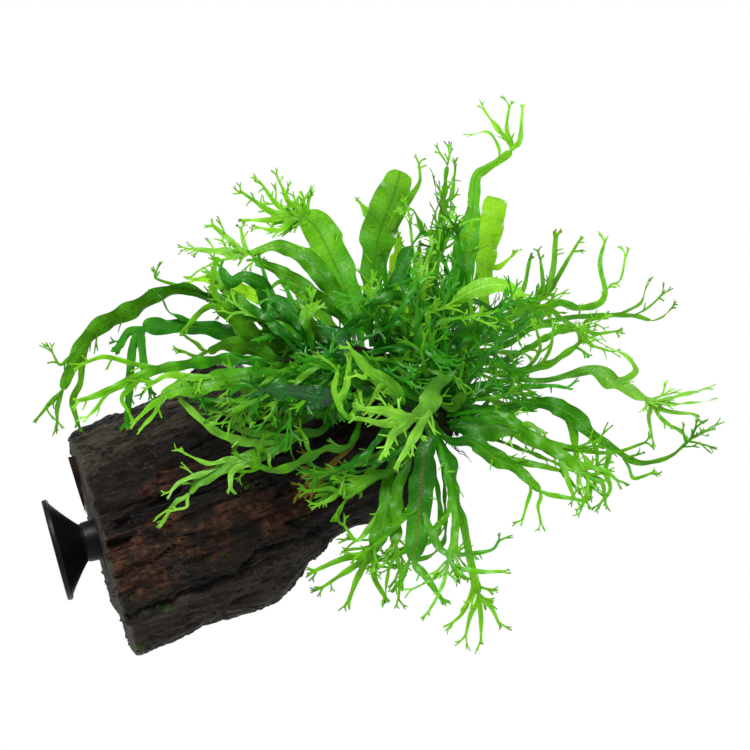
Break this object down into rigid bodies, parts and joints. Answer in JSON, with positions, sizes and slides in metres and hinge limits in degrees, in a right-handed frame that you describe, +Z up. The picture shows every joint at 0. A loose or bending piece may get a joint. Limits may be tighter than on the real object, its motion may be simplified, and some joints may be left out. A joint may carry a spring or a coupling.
{
  "type": "java fern on driftwood",
  "caption": "Lace java fern with fork-tipped fronds, growing on a sawn driftwood block that a black suction cup holds to aquarium glass.",
  "frame": {"origin": "centre of the suction cup's rim, in the plane of the glass that it sticks to", "axes": "+X from the glass into the wood along the cup's axis, +Z up along the glass, +Y to the rear, away from the plant's front"},
  "size_m": [0.2645, 0.1863, 0.1843],
  "materials": {
    "fern_green": "wet satin",
    "dead_frond": "matt",
    "rhizome_bark": "matt, hairy",
    "driftwood": "wet, rough",
    "cup_rubber": "satin"
  },
  "bodies": {
    "root": {"driftwood": "driftwood", "frond_backlit_blade": "fern_green", "frond_broad_leaf": "fern_green", "frond_broad_low_leaf": "fern_green", "frond_central_hanging_blade": "fern_green", "frond_crest_mass_frond": "fern_green", "frond_dark_curl": "fern_green", "frond_dark_middle_strap": "fern_green", "frond_dead_leaf": "dead_frond", "frond_fine_left_arc": "fern_green", "frond_fine_rear_strap": "fern_green", "frond_fine_right_arc": "fern_green", "frond_front_bright_strap": "fern_green", "frond_front_crest_frond": "fern_green", "frond_front_dark_leaf": "fern_green", "frond_front_fork_strap": "fern_green", "frond_front_small_leaf": "fern_green", "frond_glossy_low_leaf": "fern_green", "frond_glossy_upright_leaf": "fern_green", "frond_hanging_left_fan": "fern_green", "frond_hanging_middle_strap": "fern_green", "frond_hanging_right_frond": "fern_green", "frond_hanging_right_hub": "fern_green", "frond_lace_dark_tips": "fern_green", "frond_lace_frond": "fern_green", "frond_lace_side_frond": "fern_green", "frond_left_arch": "fern_green", "frond_left_bright_blade": "fern_green", "frond_left_hump_leaf": "fern_green", "frond_left_strap": "fern_green", "frond_left_thin_fork": "fern_green", "frond_mid_left_dark": "fern_green", "frond_mid_left_hub": "fern_green", "frond_mid_left_short": "fern_green", "frond_pale_leaf": "fern_green", "frond_pale_thin_strap": "fern_green", "frond_right_cluster": "fern_green", "frond_right_drop_frond": "fern_green", "frond_right_fine_strap": "fern_green", "frond_right_hub_frond": "fern_green", "frond_right_long_frond": "fern_green", "frond_right_low_strap": "fern_green", "frond_right_rear_leaf": "fern_green", "frond_right_thin_strap": "fern_green", "frond_right_upper_strap": "fern_green", "frond_tall_frond": "fern_green", "frond_top_back_leaf": "fern_green", "frond_top_blade": "fern_green", "frond_upper_left_blade": "fern_green", "frond_upper_left_hook": "fern_green", "frond_upper_left_strap": "fern_green", "frond_wood_curved_crest": "fern_green", "frond_wood_long_frond": "fern_green", "frond_wood_lower_strap": "fern_green", "frond_wood_small_crest": "fern_green", "frond_wood_upper_strap": "fern_green", "frond_yellow_leaf": "fern_green", "rhizome_branch": "rhizome_bark", "rhizome_main": "rhizome_bark", "suction_cup": "cup_rubber"}
  },
  "joints": []
}
